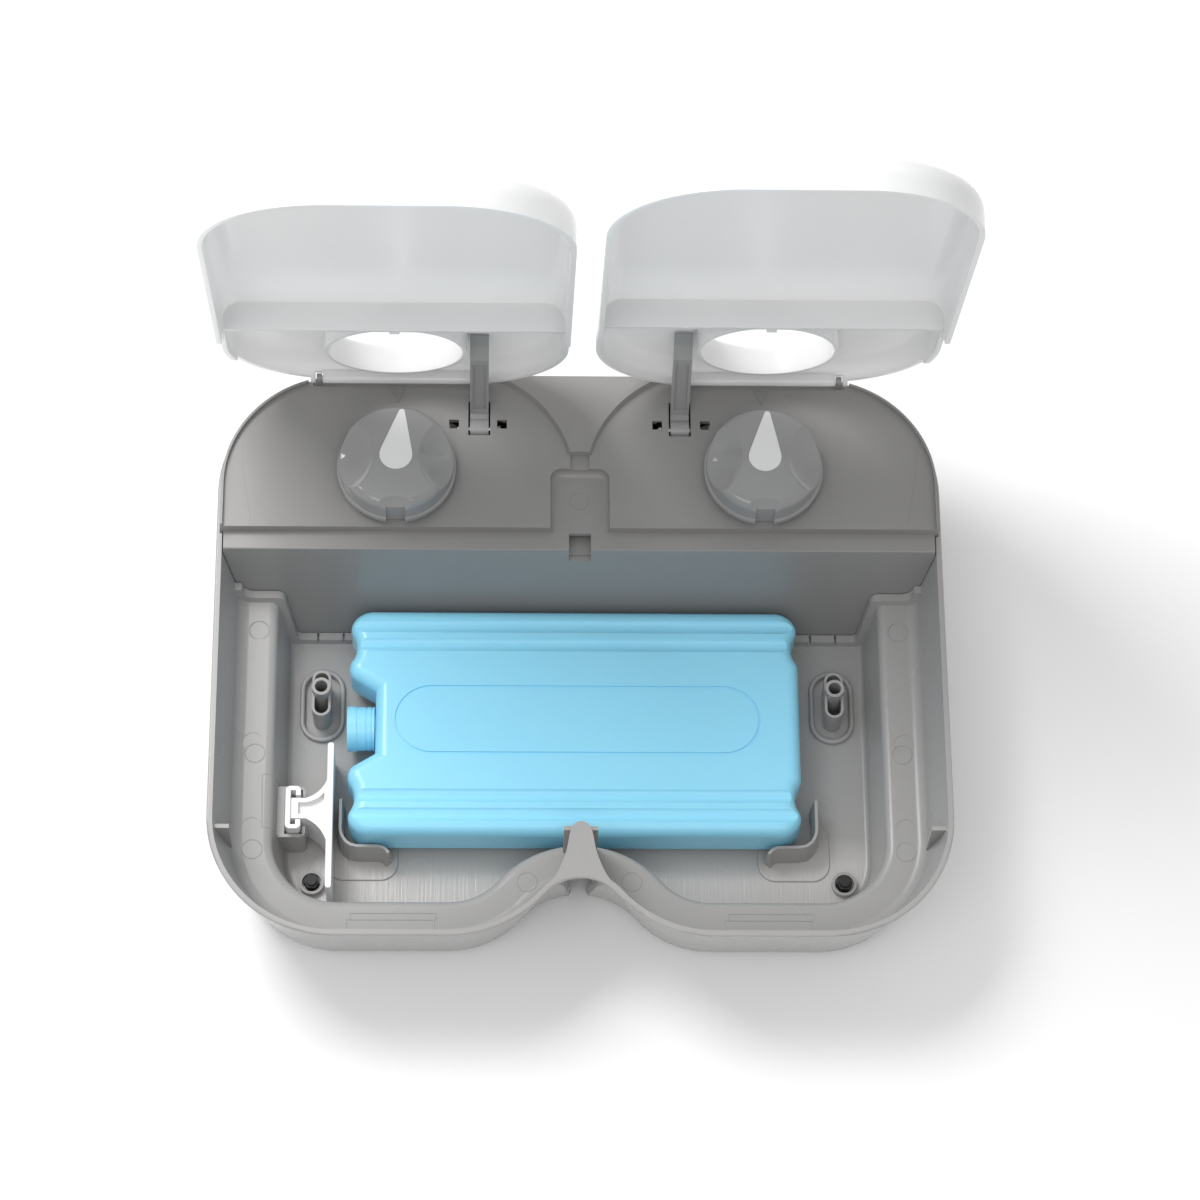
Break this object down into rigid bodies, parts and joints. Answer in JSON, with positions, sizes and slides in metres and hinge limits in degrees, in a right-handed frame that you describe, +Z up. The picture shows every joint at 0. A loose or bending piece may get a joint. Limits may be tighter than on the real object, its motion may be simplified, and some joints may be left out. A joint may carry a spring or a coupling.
{
  "type": "two meal pet feeder",
  "caption": "Timed pet feeder: grey tray with hinged white lids over round-cornered meal bays, a timer knob and lift arm for each lid, an ice pack and its clip.",
  "frame": {"origin": "bottom centre of the box of the whole feeder, with the lids open", "axes": "+X to the right seen from the front, +Y to the back where the hinges are, +Z up"},
  "size_m": [0.2796, 0.2344, 0.2845],
  "materials": {
    "shell_grey": "satin moulded ABS, warm mid grey",
    "lid_white": "satin moulded ABS, white, slightly translucent",
    "knob_grey": "glossy",
    "pointer_white": "satin",
    "arm_grey": "satin acetal",
    "pack_blue": "satin blow-moulded polyethylene",
    "clip_white": "satin",
    "foot_rubber": "matte",
    "steel": "plated",
    "timer_case": "satin",
    "spindle_white": "satin",
    "battery_skin": "gloss"
  },
  "bodies": {
    "base": {"arm_pin_left": "steel", "arm_pin_right": "steel", "arm_spring_left": "steel", "arm_spring_right": "steel", "base_shell": "shell_grey", "battery_left": "battery_skin", "battery_plate_left": "steel", "battery_plate_right": "steel", "battery_right": "battery_skin", "battery_spring_left": "steel", "battery_spring_right": "steel", "cover_screws": "steel", "foot_left_front": "foot_rubber", "foot_left_rear": "foot_rubber", "foot_right_front": "foot_rubber", "foot_right_rear": "foot_rubber", "timer_cover": "shell_grey", "timer_movement_left": "timer_case", "timer_movement_right": "timer_case"},
    "battery_door_left": {"battery_door_left": "shell_grey"},
    "battery_door_right": {"battery_door_right": "shell_grey"},
    "ice_pack": {"ice_pack": "pack_blue"},
    "ice_pack_cap": {"ice_pack_cap": "pack_blue"},
    "timer_knob_left": {"knob_left": "knob_grey", "knob_spindle_left": "spindle_white", "pointer_left": "pointer_white"},
    "timer_knob_right": {"knob_right": "knob_grey", "knob_spindle_right": "spindle_white", "pointer_right": "pointer_white"},
    "lid_left": {"lid_collar_left": "lid_white", "lid_left": "lid_white"},
    "lid_right": {"lid_collar_right": "lid_white", "lid_right": "lid_white"},
    "lift_arm_left": {"lift_arm_left": "arm_grey"},
    "lift_arm_right": {"lift_arm_right": "arm_grey"},
    "pack_clip": {"pack_clip": "clip_white"}
  },
  "joints": [
    {"name": "lid_left_hinge", "type": "hinge", "parent": "base", "child": "lid_left", "pos_m": [-0.0708, 0.10945, 0.064], "axis": [-1, 0, 0], "range_deg": [-80, 0], "stiffness_Nm_per_rad": 0.06, "springref_deg": 28.65},
    {"name": "lift_arm_left_pivot", "type": "hinge", "parent": "base", "child": "lift_arm_left", "pos_m": [-0.039, 0.09065, 0.0576], "axis": [-1, 0, 0], "range_deg": [-101.61, 0]},
    {"name": "timer_knob_left_turn", "type": "hinge", "parent": "base", "child": "timer_knob_left", "pos_m": [-0.0708, 0.07015, 0.066], "axis": [0, 0, 1], "range_deg": [0, 330]},
    {"name": "battery_door_left_lift", "type": "slide", "parent": "base", "child": "battery_door_left", "axis": [0, 0, -1], "range_m": [0, 0.015]},
    {"name": "lid_right_hinge", "type": "hinge", "parent": "base", "child": "lid_right", "pos_m": [0.0708, 0.10945, 0.064], "axis": [-1, 0, 0], "range_deg": [-81.7, 0], "stiffness_Nm_per_rad": 0.06, "springref_deg": 28.65},
    {"name": "lift_arm_right_pivot", "type": "hinge", "parent": "base", "child": "lift_arm_right", "pos_m": [0.039, 0.09065, 0.0576], "axis": [-1, 0, 0], "range_deg": [-103.77, 0]},
    {"name": "timer_knob_right_turn", "type": "hinge", "parent": "base", "child": "timer_knob_right", "pos_m": [0.0708, 0.07015, 0.066], "axis": [0, 0, 1], "range_deg": [0, 330]},
    {"name": "battery_door_right_lift", "type": "slide", "parent": "base", "child": "battery_door_right", "axis": [0, 0, -1], "range_m": [0, 0.015]},
    {"name": "ice_pack_lift", "type": "slide", "parent": "base", "child": "ice_pack", "axis": [0, 0, 1], "range_m": [0, 0.036]},
    {"name": "ice_pack_cap_turn", "type": "hinge", "parent": "ice_pack", "child": "ice_pack_cap", "pos_m": [-0.084, -0.0193, 0.0176], "axis": [1, 0, 0], "continuous": true},
    {"name": "pack_clip_lift", "type": "slide", "parent": "base", "child": "pack_clip", "axis": [0, 0, 1], "range_m": [0, 0.036]}
  ],
  "couplings": [
    {"joint": "lift_arm_left_pivot", "follows": "lid_left_hinge", "ratio": 1.27},
    {"joint": "lift_arm_right_pivot", "follows": "lid_right_hinge", "ratio": 1.27}
  ]
}
